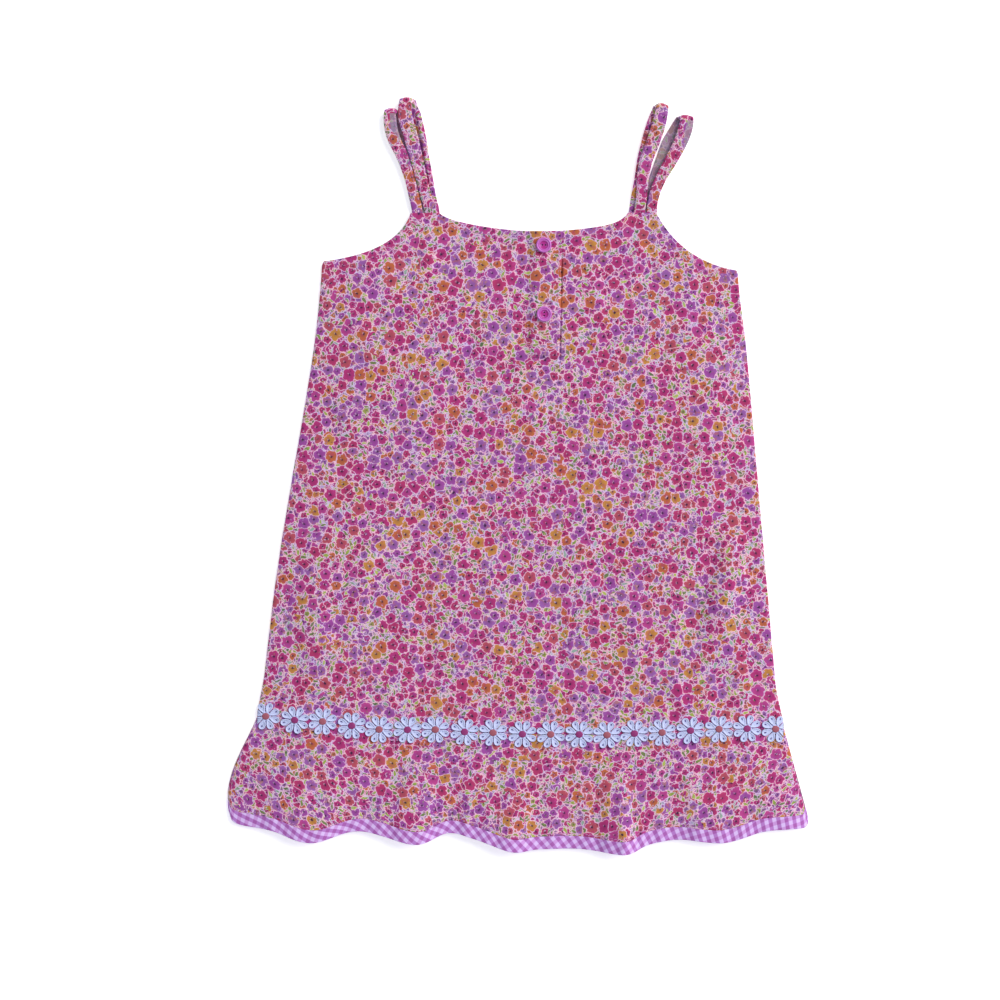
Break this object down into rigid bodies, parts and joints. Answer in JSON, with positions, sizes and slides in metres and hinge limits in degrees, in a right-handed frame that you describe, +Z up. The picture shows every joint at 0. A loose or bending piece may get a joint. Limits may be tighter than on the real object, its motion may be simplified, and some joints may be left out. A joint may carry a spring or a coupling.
{
  "type": "toddler sundress",
  "caption": "Toddler's floral cotton sundress laid flat: narrow shoulder straps folded over, buttoned placket, daisy lace trim and a flared flounce edged with gingham.",
  "frame": {"origin": "on the surface that the dress lies on, under the middle of its outline", "axes": "+Z up from the surface, +Y along the centre front from the hem to the neck, +X to the right as seen from above"},
  "size_m": [0.3907, 0.5046, 0.013],
  "materials": {
    "printed_cotton": "matt light cotton, dense small floral print in pink, coral, orange, violet and green on pale lavender",
    "gingham": "matt cotton gingham, small violet and white checks",
    "daisy_lace": "matt white embroidered lace daisies with coral and magenta centres",
    "button_plastic": "soft gloss moulded plastic"
  },
  "bodies": {
    "root": {"front_panel": "printed_cotton", "back_panel": "printed_cotton", "front_flounce": "printed_cotton", "back_flounce": "printed_cotton", "hem_band_front": "gingham", "hem_band_back": "gingham", "placket": "printed_cotton", "button_upper": "button_plastic", "button_lower": "button_plastic", "strap_left_outer": "printed_cotton", "strap_left_inner": "printed_cotton", "strap_right_inner": "printed_cotton", "strap_right_outer": "printed_cotton", "daisy_trim": "daisy_lace"}
  },
  "joints": []
}
